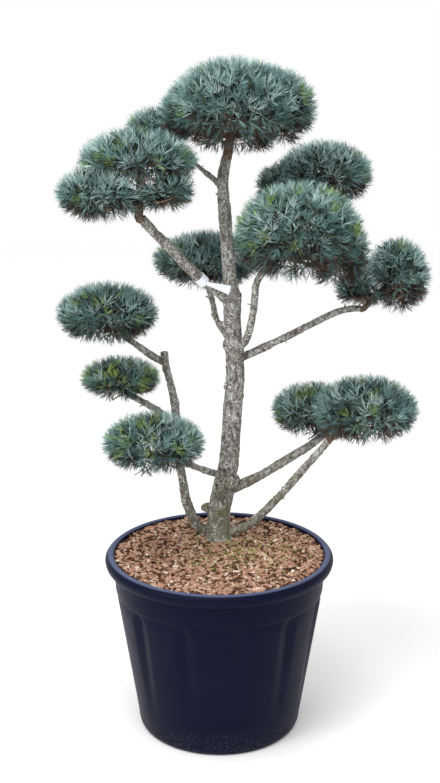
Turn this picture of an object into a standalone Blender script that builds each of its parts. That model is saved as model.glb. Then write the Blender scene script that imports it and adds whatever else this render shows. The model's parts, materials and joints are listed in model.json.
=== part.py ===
"""A cloud-pruned Japanese white pine in a black nursery pot.

Metres, +Z up. The origin is the centre of the pot's flat underside. The side that is
seen faces -Y, and +X is its right.
"""
import math
import random

import bmesh
import bpy
from mathutils import Matrix, Vector

# Pot: a fluted nursery container with a rolled rim and a plain collar
POT_HEIGHT = 0.495
RIM_RADIUS = 0.309
RIM_BAND = 0.036
COLLAR_TOP_RADIUS = 0.287
COLLAR_RADIUS = 0.281
COLLAR_BOTTOM = 0.392
BASE_RADIUS = 0.224
BASE_ROUNDING = 0.030
POT_WALL = 0.005
POT_FLOOR = 0.008
POT_STEPS = 60
FLUTES = 12
FLUTE_DEPTH = 0.010
FLUTE_TOP = 0.365
FLUTE_BOTTOM = 0.060
FIRST_FLUTE = math.radians(10.8)
SOIL_TOP = 0.478
SOIL_EDGE_DROP = 0.010
SOIL_LEVEL_RADIUS = 0.225

# What touches keeps this gap
GAP = 0.0003
WELD = 0.00005
THINNEST_TRIANGLE = 0.00002

# Trunk: height, x, y and radius from the flat cut on the soil to the tip in the top mass
TRUNK_SIDES = 10
TRUNK = (
    (SOIL_TOP + GAP, -0.002, 0.131, 0.0400),
    (0.500, -0.002, 0.131, 0.0345),
    (0.560, -0.001, 0.128, 0.0315),
    (0.625, 0.011, 0.125, 0.0320),
    (0.665, 0.019, 0.123, 0.0300),
    (0.720, 0.028, 0.119, 0.0275),
    (0.835, 0.034, 0.112, 0.0262),
    (0.960, 0.043, 0.104, 0.0252),
    (1.045, 0.038, 0.098, 0.0240),
    (1.120, 0.035, 0.093, 0.0238),
    (1.176, 0.033, 0.088, 0.0250),
    (1.225, 0.028, 0.085, 0.0185),
    (1.320, 0.020, 0.078, 0.0163),
    (1.385, 0.016, 0.072, 0.0165),
    (1.450, 0.010, 0.065, 0.0155),
    (1.490, 0.009, 0.061, 0.0160),
    (1.545, 0.020, 0.060, 0.0130),
)

# Knots and cut stubs on the trunk: where they sit, which way they stand out, reach, radius
KNOTS = (
    ((-0.028, 0.120, 0.575), (-1.0, -0.25, 0.1), 0.024, 0.0135),
    ((0.005, 0.105, 0.672), (-0.7, -0.9, 0.0), 0.016, 0.0150),
    ((0.030, 0.112, 0.640), (0.9, -0.3, 0.2), 0.022, 0.0190),
    ((0.018, 0.086, 1.100), (-1.0, -0.3, 0.5), 0.026, 0.0085),
    ((0.012, 0.082, 1.180), (-1.0, -0.3, 0.3), 0.016, 0.0140),
)

# Limbs: the parent and where it is left, the way through the air to the tip, end radii
LIMB_SIDES = 6
LIMBS = {
    "left_stem": dict(
        foot=(-0.043, 0.166), radii=(0.0155, 0.0100),
        way=((-0.068, 0.168, 0.512), (-0.096, 0.168, 0.594), (-0.117, 0.166, 0.758),
             (-0.124, 0.160, 0.872), (-0.145, 0.155, 0.965), (-0.151, 0.152, 1.013)),
    ),
    "bough_low_right_front": dict(
        parent="trunk", leaves_at=0.492, radii=(0.0125, 0.0100),
        way=((0.076, 0.105, 0.526), (0.146, 0.072, 0.604), (0.206, 0.042, 0.688),
             (0.262, 0.020, 0.764), (0.292, 0.012, 0.804)),
    ),
    "bough_low_right_back": dict(
        parent="trunk", leaves_at=0.618, radii=(0.0150, 0.0110),
        way=((0.075, 0.118, 0.650), (0.130, 0.122, 0.679), (0.241, 0.142, 0.743),
             (0.292, 0.152, 0.779)),
    ),
    "bough_low_left": dict(
        parent="trunk", leaves_at=0.665, radii=(0.0105, 0.0080),
        way=((-0.027, 0.062, 0.700), (-0.072, 0.000, 0.738), (-0.100, -0.025, 0.762)),
    ),
    "bough_left_small": dict(
        parent="left_stem", leaves_at=0.805, radii=(0.0100, 0.0085),
        way=((-0.174, 0.150, 0.851), (-0.236, 0.130, 0.893)),
    ),
    "bough_left_upper": dict(
        parent="left_stem", leaves_at=0.985, radii=(0.0105, 0.0092),
        way=((-0.180, 0.150, 1.001), (-0.245, 0.128, 1.055)),
    ),
    "bough_far_right": dict(
        parent="trunk", leaves_at=1.002, radii=(0.0115, 0.0082),
        way=((0.115, 0.090, 1.038), (0.210, 0.080, 1.088), (0.316, 0.070, 1.143),
             (0.374, 0.072, 1.150)),
    ),
    "bough_front_right": dict(
        parent="trunk", leaves_at=1.022, radii=(0.0110, 0.0088),
        way=((0.073, 0.060, 1.073), (0.089, 0.030, 1.154), (0.096, 0.006, 1.229),
             (0.120, -0.018, 1.275)),
    ),
    "bough_back": dict(
        parent="trunk", leaves_at=1.045, radii=(0.0090, 0.0078),
        way=((-0.004, 0.140, 1.099), (-0.018, 0.200, 1.140), (-0.028, 0.240, 1.168)),
    ),
    "bough_upper_left": dict(
        parent="trunk", leaves_at=1.172, radii=(0.0150, 0.0120),
        way=((-0.039, 0.048, 1.224), (-0.124, 0.000, 1.320), (-0.161, -0.020, 1.360),
             (-0.196, -0.030, 1.400)),
    ),
    "bough_right_back": dict(
        parent="trunk", leaves_at=1.272, radii=(0.0105, 0.0085),
        way=((0.112, 0.160, 1.340), (0.217, 0.238, 1.408)),
    ),
    "bough_upper_back": dict(
        parent="trunk", leaves_at=1.470, radii=(0.0070, 0.0055),
        way=((-0.049, 0.120, 1.512), (-0.115, 0.208, 1.563)),
    ),
}

# Foliage masses: the limb that carries each, and its lobes as centre and half sizes
MASSES = {
    "foliage_top": ("trunk", (
        ((0.040, 0.060, 1.670), (0.178, 0.165, 0.131)),
        ((-0.071, 0.070, 1.649), (0.094, 0.090, 0.084)),
        ((0.144, 0.055, 1.667), (0.110, 0.102, 0.108)),
    )),
    "foliage_upper_left": ("bough_upper_left", (
        ((-0.201, -0.020, 1.544), (0.154, 0.139, 0.089)),
        ((-0.289, -0.065, 1.465), (0.123, 0.114, 0.082)),
        ((-0.141, -0.055, 1.474), (0.089, 0.085, 0.068)),
    )),
    "foliage_upper_back": ("bough_upper_back", (
        ((-0.160, 0.240, 1.608), (0.099, 0.091, 0.067)),
    )),
    "foliage_right_back": ("bough_right_back", (
        ((0.286, 0.270, 1.483), (0.139, 0.128, 0.100)),
        ((0.160, 0.252, 1.458), (0.070, 0.070, 0.063)),
    )),
    "foliage_front_right": ("bough_front_right", (
        ((0.199, -0.060, 1.368), (0.165, 0.148, 0.136)),
        ((0.120, -0.060, 1.350), (0.090, 0.090, 0.090)),
        ((0.299, -0.050, 1.319), (0.090, 0.090, 0.102)),
    )),
    "foliage_far_right": ("bough_far_right", (
        ((0.468, 0.085, 1.232), (0.096, 0.091, 0.111)),
        ((0.372, 0.085, 1.203), (0.076, 0.072, 0.062)),
    )),
    "foliage_back": ("bough_back", (
        ((-0.034, 0.300, 1.243), (0.156, 0.144, 0.089)),
    )),
    "foliage_left_upper": ("bough_left_upper", (
        ((-0.299, 0.110, 1.129), (0.142, 0.130, 0.092)),
    )),
    "foliage_left_small": ("bough_left_small", (
        ((-0.268, 0.110, 0.951), (0.115, 0.106, 0.069)),
    )),
    "foliage_low_left": ("bough_low_left", (
        ((-0.170, -0.070, 0.823), (0.140, 0.129, 0.089)),
    )),
    "foliage_low_right_back": ("bough_low_right_back", (
        ((0.258, 0.165, 0.845), (0.121, 0.110, 0.087)),
    )),
    "foliage_low_right_front": ("bough_low_right_front", (
        ((0.388, 0.020, 0.886), (0.146, 0.131, 0.101)),
    )),
}
# Shares of a spray are of the way from its lobe's centre to the lobe's outline
CORE_SHARE = 0.70
CORE_UNDERSIDE = 0.85
CORE_AROUND = 10
CORE_LEVELS = 6
AREA_FOR_ONE_SPRAY = 0.0175
SPRAY_TEETH = 5
TOOTH_SPACING = 0.030
SPRAY_THICKNESS = 0.007
SPRAY_ROOT = 0.55
SPRAY_MIDDLE = 0.79
SPRAY_NOTCH = 0.86
SPRAY_LEAN = 0.9
SHORTEST_SPRAY = 0.96
UNDERSIDE_LIMIT = -0.92
SPACE_MARGIN = 0.10
LIMB_CLEARANCE = 0.004
HIDDEN_LIMIT = 0.85
STEM_STRAIGHT = 0.008
STEM_SHARES = (0.98, 0.98, 0.85, 0.60)
STEM_END = 0.8
HUB_SHARE = 0.42
SPOKES = 6
SPOKE_RADIUS = 0.0060
SPOKE_REACH = 0.80
SPOKE_DROP = 0.35
SEED = 11
TRIALS = 20
GOLDEN_ANGLE = math.pi * (3 - math.sqrt(5))

# Blank white label: a band round the upper left bough and a strap that widens to its end
TAG_WIDTH = 0.024
TAG_NECK = 0.008
TAG_THICKNESS = 0.0015
TAG_PLACE = 0.27
TAG_SIDES = 12
TAG_FRONT = (-0.1, -0.9, 0.4)
TAG_END = (0.028, 0.044, 1.204)
TAG_END_UP = (0.26, 0.0, 0.97)

COLOURS = {
    "pot_plastic": ((0.018, 0.024, 0.050), 0.42),
    "bark_mulch": ((0.36, 0.22, 0.15), 0.95),
    "bark": ((0.27, 0.23, 0.18), 0.92),
    "needles": ((0.13, 0.26, 0.24), 0.70),
    "tag_plastic": ((0.86, 0.88, 0.90), 0.45),
}


def clear_scene():
    for item in list(bpy.data.objects):
        bpy.data.objects.remove(item, do_unlink=True)


def make_collection(name):
    collection = bpy.data.collections.new(name)
    bpy.context.scene.collection.children.link(collection)
    return collection


def make_material(name):
    colour, roughness = COLOURS[name]
    material = bpy.data.materials.new(name)
    material.use_nodes = True
    shader = material.node_tree.nodes["Principled BSDF"]
    shader.inputs["Base Color"].default_value = (*colour, 1.0)
    shader.inputs["Roughness"].default_value = roughness
    shader.inputs["Metallic"].default_value = 0.0
    return material


def place(name, mesh, collection, material=None):
    item = bpy.data.objects.new(name, mesh)
    collection.objects.link(item)
    if material:
        mesh.materials.clear()
        mesh.materials.append(material)
    return item


def evaluated_mesh(item, weld):
    """The mesh that an object's curve or modifiers give, welded where its caps are loose."""
    bpy.context.view_layer.update()
    graph = bpy.context.evaluated_depsgraph_get()
    mesh = bpy.data.meshes.new_from_object(item.evaluated_get(graph))
    if weld:
        shape = bmesh.new()
        shape.from_mesh(mesh)
        bmesh.ops.remove_doubles(shape, verts=shape.verts, dist=1e-6)
        bmesh.ops.recalc_face_normals(shape, faces=shape.faces)
        shape.to_mesh(mesh)
        shape.free()
    return mesh


def applied(item, collection, material=None, weld=False):
    """Replace an object by a plain mesh object of the shape that it shows."""
    mesh = evaluated_mesh(item, weld)
    name, matrix = item.name, item.matrix_world.copy()
    bpy.data.objects.remove(item, do_unlink=True)
    mesh.name = name
    result = place(name, mesh, collection, material)
    result.matrix_world = matrix
    return result


def largest_shell(mesh):
    """Keep the outer shell of a fused mesh: loose scraps and sealed hollows go."""
    shape = bmesh.new()
    shape.from_mesh(mesh)
    left = set(shape.faces)
    shells = []
    while left:
        stack = [left.pop()]
        shell = []
        while stack:
            face = stack.pop()
            shell.append(face)
            for edge in face.edges:
                for near in edge.link_faces:
                    if near in left:
                        left.remove(near)
                        stack.append(near)
        shells.append(shell)
    shells.sort(key=lambda faces: sum(face.calc_area() for face in faces))
    for shell in shells[:-1]:
        bmesh.ops.delete(shape, geom=shell, context="FACES")
    shape.to_mesh(mesh)
    shape.free()


def triangulate(mesh):
    """Split a mesh into triangles and weld its shortest edges."""
    shape = bmesh.new()
    shape.from_mesh(mesh)
    bmesh.ops.remove_doubles(shape, verts=shape.verts, dist=WELD)
    bmesh.ops.triangulate(shape, faces=shape.faces)
    bmesh.ops.dissolve_degenerate(shape, dist=WELD, edges=shape.edges)
    bmesh.ops.triangulate(shape, faces=shape.faces)
    shape.to_mesh(mesh)
    shape.free()


def is_clean(mesh):
    """True where every edge has two faces, the shell touches itself nowhere and has no sliver."""
    shape = bmesh.new()
    shape.from_mesh(mesh)
    clean = all(part.is_manifold for part in (*shape.edges, *shape.verts))
    for face in shape.faces:
        longest = max(edge.calc_length() for edge in face.edges)
        clean = clean and 2 * face.calc_area() > THINNEST_TRIANGLE * longest
    shape.free()
    return clean


def boolean(item, operation, cutter=None, group=None, solver="EXACT"):
    modifier = item.modifiers.new(operation.lower(), "BOOLEAN")
    modifier.operation = operation
    modifier.solver = solver
    if group:
        modifier.operand_type = "COLLECTION"
        modifier.collection = group
    else:
        modifier.object = cutter


def fuse(name, pieces, collection, material, solver="EXACT"):
    """Join solids into one closed body."""
    group = make_collection(name + "_pieces")
    base = pieces[0]
    for piece in pieces[1:]:
        for home in list(piece.users_collection):
            home.objects.unlink(piece)
        group.objects.link(piece)
    boolean(base, "UNION", group=group, solver=solver)
    base.name = name + "_base"
    result = applied(base, collection, material)
    result.name = name
    for piece in list(group.objects):
        bpy.data.objects.remove(piece, do_unlink=True)
    bpy.data.collections.remove(group)
    largest_shell(result.data)
    triangulate(result.data)
    return result


def smooth_path(points, steps):
    """A smooth line through points, with a number of steps between each two."""
    points = [Vector(point) for point in points]
    first = points[0] * 2 - points[1]
    last = points[-1] * 2 - points[-2]
    ends = [first] + points + [last]
    path = []
    for i in range(1, len(ends) - 2):
        a, b, c, d = ends[i - 1:i + 3]
        for k in range(steps):
            t = k / steps
            path.append(0.5 * (2 * b + (c - a) * t + (2 * a - 5 * b + 4 * c - d) * t * t
                               + (3 * b - 3 * c + d - a) * t ** 3))
    path.append(points[-1])
    return path


def tube(name, path, radii, sides, collection):
    """A closed tapering tube along a path."""
    curve = bpy.data.curves.new(name, "CURVE")
    curve.dimensions = "3D"
    curve.bevel_depth = 1.0
    curve.bevel_resolution = (sides - 4) // 2
    curve.use_fill_caps = True
    curve.twist_mode = "MINIMUM"
    spline = curve.splines.new("POLY")
    spline.points.add(len(path) - 1)
    for point, place_at, radius in zip(spline.points, path, radii):
        point.co = (*place_at, 1.0)
        point.radius = radius
    item = bpy.data.objects.new(name, curve)
    collection.objects.link(item)
    return applied(item, collection, weld=True)


def at_height(path, height):
    """The point where a rising path passes a height."""
    for a, b in zip(path, path[1:]):
        if a.z <= height <= b.z:
            return a.lerp(b, (height - a.z) / (b.z - a.z))
    raise ValueError(height)


def limb_lines():
    """Centre lines and radii of the trunk and of every limb that leaves it."""
    path = [Vector((x, y, z)) for z, x, y, radius in TRUNK]
    lines = {"trunk": (path, [station[3] for station in TRUNK])}
    for name, limb in LIMBS.items():
        if "parent" in limb:
            start = at_height(lines[limb["parent"]][0], limb["leaves_at"])
            path = smooth_path((start, *limb["way"]), 2)
        else:
            x, y = limb["foot"]
            ground = Vector((x, y, SOIL_TOP + GAP))
            path = [ground] + smooth_path((ground + Vector((0, 0, 0.012)), *limb["way"]), 2)
        thick, thin = limb["radii"]
        share = [i / (len(path) - 1) for i in range(len(path))]
        lines[name] = (path, [thick + (thin - thick) * t for t in share])
    return lines


def make_trunk(name, lines, grow, collection):
    """The trunk with its knots and stubs, as they are or grown all round by a gap."""
    path, radii = lines["trunk"]
    if grow:
        path = [path[0] - Vector((0, 0, 0.01))] + path
        radii = [radii[0]] + radii
    body = tube(name + "_stem", path, [radius + grow for radius in radii], TRUNK_SIDES, collection)
    pieces = [body]
    for i, (seat, way, reach, radius) in enumerate(KNOTS):
        shape = bmesh.new()
        bmesh.ops.create_icosphere(shape, subdivisions=2, radius=1.0)
        turn = Vector(way).to_track_quat("Z", "Y").to_matrix().to_4x4()
        size = Matrix.Diagonal((radius + grow, radius + grow, reach + grow, 1.0))
        bmesh.ops.transform(shape, matrix=Matrix.Translation(seat) @ turn @ size, verts=shape.verts)
        mesh = bpy.data.meshes.new(f"{name}_knot_{i}")
        shape.to_mesh(mesh)
        shape.free()
        pieces.append(place(f"{name}_knot_{i}", mesh, collection))
    return pieces


def pot_profile(inset):
    """Half section of the pot from its wall's lower corner to the rim, moved in by inset."""
    slope = (COLLAR_RADIUS - BASE_RADIUS) / (COLLAR_BOTTOM - BASE_ROUNDING)
    body_top = COLLAR_RADIUS - 0.004
    flute_end = BASE_RADIUS + slope * (FLUTE_BOTTOM - BASE_ROUNDING)
    flute_start = body_top - slope * (COLLAR_BOTTOM - FLUTE_TOP)
    return [
        (BASE_RADIUS - inset, BASE_ROUNDING),
        (flute_end - inset, FLUTE_BOTTOM),
        (flute_start - inset, FLUTE_TOP),
        (body_top - inset, COLLAR_BOTTOM),
    ]


def flute_in(angle, height):
    """How far the wall is pressed in by the flutes at an angle from the front."""
    if not FLUTE_BOTTOM + 0.001 < height < COLLAR_BOTTOM - 0.001:
        return 0.0
    pitch = 2 * math.pi / FLUTES
    off = (angle - FIRST_FLUTE + pitch / 2) % pitch - pitch / 2
    half_width = pitch / 5
    return FLUTE_DEPTH * max(0.0, 1 - abs(off) / half_width)


def split_quads(mesh):
    """Split each quad of a turned shape along the same diagonal, so that nested walls agree."""
    shape = bmesh.new()
    shape.from_mesh(mesh)
    for face in list(shape.faces):
        if len(face.verts) == 4:
            middle = face.calc_center_median()
            left = [v for v in face.verts if middle.x * v.co.y < middle.y * v.co.x]
            low = min(left, key=lambda v: (round(v.co.z, 5), v.co.xy.length))
            opposite = [v for v in face.verts if v not in left]
            high = max(opposite, key=lambda v: (round(v.co.z, 5), v.co.xy.length))
            bmesh.utils.face_split(face, low, high)
    shape.to_mesh(mesh)
    shape.free()


def turned(name, profile, collection, material):
    """A round solid from its half section, with the pot's flutes pressed in."""
    mesh = bpy.data.meshes.new(name)
    edges = [(i, i + 1) for i in range(len(profile) - 1)]
    mesh.from_pydata([(radius, 0, height) for radius, height in profile], edges, [])
    item = place(name, mesh, collection)
    screw = item.modifiers.new("turn", "SCREW")
    screw.steps = POT_STEPS
    screw.render_steps = POT_STEPS
    screw.use_merge_vertices = True
    screw.merge_threshold = 0.00005
    item = applied(item, collection, material, weld=True)
    split_quads(item.data)
    turn = FIRST_FLUTE - math.pi / 2
    item.data.transform(Matrix.Rotation(turn, 4, "Z"))
    for vertex in item.data.vertices:
        x, y, z = vertex.co
        radius = math.hypot(x, y)
        if radius > BASE_RADIUS * 0.8:
            share = 1 - flute_in(math.atan2(x, -y), z) / radius
            vertex.co.x = x * share
            vertex.co.y = y * share
    item.data.shade_smooth()
    item.data.set_sharp_from_angle(angle=math.radians(30))
    return item


def make_pot(collection, material):
    outer = pot_profile(0.0)
    inner = pot_profile(POT_WALL)
    crest = POT_HEIGHT
    rim_foot = crest - RIM_BAND
    inner_top = COLLAR_TOP_RADIUS - 0.006
    profile = [(0.0, POT_FLOOR), (inner[0][0] - 0.012, POT_FLOOR)] + inner
    profile += [
        (inner_top, rim_foot + 0.010),
        (inner_top + 0.003, crest - 0.005),
        (inner_top + 0.011, crest),
        (RIM_RADIUS - 0.009, crest - 0.001),
        (RIM_RADIUS, crest - 0.013),
        (RIM_RADIUS - 0.003, crest - 0.029),
        (RIM_RADIUS - 0.012, rim_foot),
        (COLLAR_TOP_RADIUS, rim_foot - 0.001),
        (COLLAR_RADIUS, COLLAR_BOTTOM + 0.001),
    ]
    profile += outer[::-1]
    profile += [
        (BASE_RADIUS - BASE_ROUNDING * 0.12, BASE_ROUNDING * 0.30),
        (BASE_RADIUS - BASE_ROUNDING * 0.45, 0.0),
        (0.0, 0.0),
    ]
    return turned("pot", profile, collection, material)


def make_soil(collection, material):
    wall = pot_profile(POT_WALL + 2 * GAP)
    edge_radius = COLLAR_TOP_RADIUS - 0.006 - 2 * GAP
    profile = [
        (0.0, SOIL_TOP),
        (SOIL_LEVEL_RADIUS, SOIL_TOP),
        (edge_radius, SOIL_TOP - SOIL_EDGE_DROP),
    ]
    profile += wall[::-1]
    profile += [(wall[0][0] - 0.012, POT_FLOOR + GAP), (0.0, POT_FLOOR + GAP)]
    return turned("potting_soil", profile, collection, material)


def lobe_value(lobe, point):
    """Under 1 inside a lobe's outline, over 1 outside."""
    centre, half = lobe
    return sum(((point[i] - centre[i]) / half[i]) ** 2 for i in range(3))


def mass_value(name, point):
    return min(lobe_value(lobe, point) for lobe in MASSES[name][1])


def in_own_space(name, point):
    own = mass_value(name, point)
    others = (mass_value(other, point) for other in MASSES if other != name)
    return own + SPACE_MARGIN < min(others)


def clear_of_limbs(point, lines):
    for path, radii in lines.values():
        for a, b, radius in zip(path, path[1:], radii):
            run = b - a
            t = max(0.0, min(1.0, (point - a).dot(run) / run.length_squared))
            if (point - a - run * t).length < radius + LIMB_CLEARANCE:
                return False
    return True


def lobe_area(half):
    a, b, c = (size ** 1.6 for size in half)
    return 4 * math.pi * ((a * b + a * c + b * c) / 3) ** (1 / 1.6)


def even_directions(count, turn):
    """Directions spread evenly over a ball by the golden angle."""
    for i in range(count):
        z = 1 - (2 * i + 1) / count
        ring = math.sqrt(1 - z * z)
        angle = turn + i * GOLDEN_ANGLE
        yield Vector((ring * math.cos(angle), ring * math.sin(angle), z))


def spray_point(lobe, heading, side, turn, lean, share):
    """A point of a spray: turned off its heading, and leaning over more the deeper it lies."""
    centre, half = lobe
    across = heading.cross(side) * (lean * (1 - share))
    way = (heading * math.cos(turn) + side * math.sin(turn) + across).normalized()
    return Vector(centre) + Vector((way.x * half[0], way.y * half[1], way.z * half[2])) * share


def spray_corners(lobe, heading, side, lean, reach):
    """The root, needle points and notches of a spray, and its middle."""
    step = TOOTH_SPACING / (sum(lobe[1]) / 3) / 2
    corners = [spray_point(lobe, heading, side, 0, lean, SPRAY_ROOT)]
    last = SPRAY_TEETH - 1
    for k in range(-last, last + 1):
        share = reach if (k + last) % 2 == 0 else SPRAY_NOTCH
        corners.append(spray_point(lobe, heading, side, k * step, lean, share))
    return corners, spray_point(lobe, heading, side, 0, lean, SPRAY_MIDDLE)


def make_spray(name, corners, middle, collection):
    """A closed toothed blade, thickest in its middle."""
    normal = (corners[1] - corners[0]).cross(corners[-1] - corners[0]).normalized()
    across = normal * (SPRAY_THICKNESS / 2)
    shape = bmesh.new()
    ring = [shape.verts.new(corner) for corner in corners]
    top = shape.verts.new(middle + across)
    bottom = shape.verts.new(middle - across)
    for a, b in zip(ring, ring[1:] + ring[:1]):
        shape.faces.new((a, b, top))
        shape.faces.new((b, a, bottom))
    if shape.calc_volume(signed=True) < 0:
        bmesh.ops.reverse_faces(shape, faces=shape.faces)
    mesh = bpy.data.meshes.new(name)
    shape.to_mesh(mesh)
    shape.free()
    return place(name, mesh, collection)


def make_twig(name, start, end, thick, thin, collection):
    """A straight three-sided twig."""
    shape = bmesh.new()
    run = end - start
    bmesh.ops.create_cone(shape, cap_ends=True, segments=3, radius1=thick, radius2=thin,
                          depth=run.length)
    turn = run.to_track_quat("Z", "Y").to_matrix().to_4x4()
    middle = Matrix.Translation(start.lerp(end, 0.5))
    bmesh.ops.transform(shape, matrix=middle @ turn, verts=shape.verts)
    mesh = bpy.data.meshes.new(name)
    shape.to_mesh(mesh)
    shape.free()
    return place(name, mesh, collection)


def make_core(name, lobe, collection):
    """The dense inside of a lobe: a dome with a flatter underside."""
    centre, half = lobe
    shape = bmesh.new()
    bmesh.ops.create_uvsphere(shape, u_segments=CORE_AROUND, v_segments=CORE_LEVELS, radius=1.0)
    for vertex in shape.verts:
        x, y, z = vertex.co
        if z < 0:
            z *= CORE_UNDERSIDE
        vertex.co = Vector(centre) + Vector((x * half[0], y * half[1], z * half[2])) * CORE_SHARE
    mesh = bpy.data.meshes.new(name)
    shape.to_mesh(mesh)
    shape.free()
    return place(name, mesh, collection)


def make_mass(name, lines, collection, material, seed):
    """One mass, dealt out anew where its fused pieces don't give a clean shell."""
    for trial in range(TRIALS):
        pieces = mass_pieces(name, lines, collection, random.Random(seed + trial * len(MASSES)))
        mass = fuse(name, pieces, collection, material, solver="MANIFOLD")
        if is_clean(mass.data):
            return mass
        bpy.data.objects.remove(mass, do_unlink=True)
    raise ValueError(name)


def mass_pieces(name, lines, collection, chance):
    """Stem, spokes, core and sprays of needles of one mass."""
    carrier, lobes = MASSES[name]
    path, radii = lines[carrier]
    heading = (path[-1] - path[-2]).normalized()
    start = path[-1] + heading * GAP
    main_centre = Vector(lobes[0][0])
    hub = start.lerp(main_centre, HUB_SHARE)
    stem_path = [start, start + heading * STEM_STRAIGHT, hub, start.lerp(main_centre, STEM_END)]
    stem_radii = [radii[-1] * share for share in STEM_SHARES]
    pieces = [tube(name + "_stem", stem_path, stem_radii, LIMB_SIDES, collection)]
    pieces += [make_core(f"{name}_core_{i}", lobe, collection) for i, lobe in enumerate(lobes)]

    # Spokes run out under each dome from the hub
    for centre, half in lobes:
        for k in range(SPOKES):
            angle = k * GOLDEN_ANGLE + chance.uniform(-0.3, 0.3)
            out = Vector((math.cos(angle) * half[0], math.sin(angle) * half[1], 0))
            end = Vector(centre) + out * SPOKE_REACH - Vector((0, 0, half[2] * SPOKE_DROP))
            if in_own_space(name, end) and clear_of_limbs(end, lines):
                label = f"{name}_spoke_{len(pieces)}"
                pieces.append(make_twig(label, hub, end, SPOKE_RADIUS, SPOKE_RADIUS / 2, collection))

    # Sprays stand out of the core all over the lobes
    for lobe in lobes:
        others = [other for other in lobes if other is not lobe]
        count = round(lobe_area(lobe[1]) / AREA_FOR_ONE_SPRAY)
        for heading in even_directions(count, chance.uniform(0, math.tau)):
            side = heading.orthogonal().normalized()
            side.rotate(Matrix.Rotation(chance.uniform(0, math.pi), 3, heading))
            lean = chance.uniform(-SPRAY_LEAN, SPRAY_LEAN)
            reach = chance.uniform(SHORTEST_SPRAY, 1.0)
            corners, middle = spray_corners(lobe, heading, side, lean, reach)
            tip = spray_point(lobe, heading, side, 0, 0, reach)
            hidden = any(lobe_value(other, tip) < HIDDEN_LIMIT for other in others)
            if heading.z < UNDERSIDE_LIMIT or hidden:
                continue
            if all(in_own_space(name, p) and clear_of_limbs(p, lines) for p in corners):
                label = f"{name}_spray_{len(pieces)}"
                pieces.append(make_spray(label, corners, middle, collection))
    return pieces


def make_tag(lines, collection, material):
    """A blank label: a band round the bough, and its strap in front of bough and trunk."""
    path, radii = lines["bough_upper_left"]
    where = TAG_PLACE * (len(path) - 1)
    i = int(where)
    centre = path[i].lerp(path[i + 1], where - i)
    axis = (path[i + 1] - path[i]).normalized()
    radius = max(radii[i], radii[i + 1]) + GAP
    turn = axis.to_track_quat("Z", "Y").to_matrix()
    profile = ((radius, -0.5), (radius, 0.5), (radius + TAG_THICKNESS, 0.5),
               (radius + TAG_THICKNESS, -0.5))
    shape = bmesh.new()
    rings = []
    for ring_radius, share in profile:
        angles = [math.tau * k / TAG_SIDES for k in range(TAG_SIDES)]
        rings.append([shape.verts.new(centre + turn @ Vector(
            (ring_radius * math.cos(a), ring_radius * math.sin(a), share * TAG_WIDTH)))
            for a in angles])
    for a, b in zip(rings, rings[1:] + rings[:1]):
        for k in range(TAG_SIDES):
            n = (k + 1) % TAG_SIDES
            shape.faces.new((a[k], a[n], b[n], b[k]))
    bmesh.ops.recalc_face_normals(shape, faces=shape.faces)
    mesh = bpy.data.meshes.new("tag_band")
    shape.to_mesh(mesh)
    shape.free()
    band = place("tag_band", mesh, collection)

    front = Vector(TAG_FRONT)
    front = (front - axis * front.dot(axis)).normalized()
    neck = centre + front * (radius + TAG_THICKNESS / 2) - axis * (TAG_WIDTH / 2 - 0.002)
    end = Vector(TAG_END)
    up = Vector(TAG_END_UP).normalized()
    normal = (end - neck).cross(up).normalized()
    shape = bmesh.new()
    bmesh.ops.create_cube(shape, size=2.0)
    for vertex in shape.verts:
        along = (vertex.co.x + 1) / 2
        half_width = (TAG_NECK + (TAG_WIDTH - TAG_NECK) * along) / 2
        offset = up * (vertex.co.z * half_width) + normal * (vertex.co.y * TAG_THICKNESS / 2)
        vertex.co = neck.lerp(end, along) + offset
    bmesh.ops.recalc_face_normals(shape, faces=shape.faces)
    mesh = bpy.data.meshes.new("tag_strap")
    shape.to_mesh(mesh)
    shape.free()
    strap = place("tag_strap", mesh, collection)
    return fuse("plant_tag", [band, strap], collection, material)


def build():
    clear_scene()
    pine = make_collection("white_pine_in_pot")
    cutters = make_collection("cutters")
    materials = {name: make_material(name) for name in COLOURS}
    make_pot(pine, materials["pot_plastic"])
    make_soil(pine, materials["bark_mulch"])

    lines = limb_lines()
    fuse("trunk", make_trunk("trunk", lines, 0.0, pine), pine, materials["bark"])
    grown_trunk = fuse("trunk_cutter", make_trunk("trunk_cutter", lines, GAP, cutters), cutters, None)
    grown = {"trunk": grown_trunk}
    for name, limb in LIMBS.items():
        path, radii = lines[name]
        body = tube(name + "_tube", path, radii, LIMB_SIDES, pine)
        boolean(body, "DIFFERENCE", cutter=grown[limb.get("parent", "trunk")])
        result = applied(body, pine, materials["bark"])
        result.name = name
        largest_shell(result.data)
        if name == "left_stem":
            wide = [radius + GAP for radius in radii]
            grown[name] = tube(name + "_cutter", path, wide, LIMB_SIDES, cutters)
    for cutter in grown.values():
        cutter.hide_render = True
        cutter.display_type = "WIRE"

    for number, name in enumerate(MASSES):
        make_mass(name, lines, pine, materials["needles"], SEED + number)
    make_tag(lines, pine, materials["tag_plastic"])


build()
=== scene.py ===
"""Looks of a cloud-pruned Japanese white pine in a black nursery pot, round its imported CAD.

Metres, +Z up, in the CAD's frame. Limbs and masses repeat the source's sizes and growth rule,
and carry them on to fine twigs and needles within the same reach.
"""
import json
import math
import random

import bpy
import numpy as np
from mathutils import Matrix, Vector, noise

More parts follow.
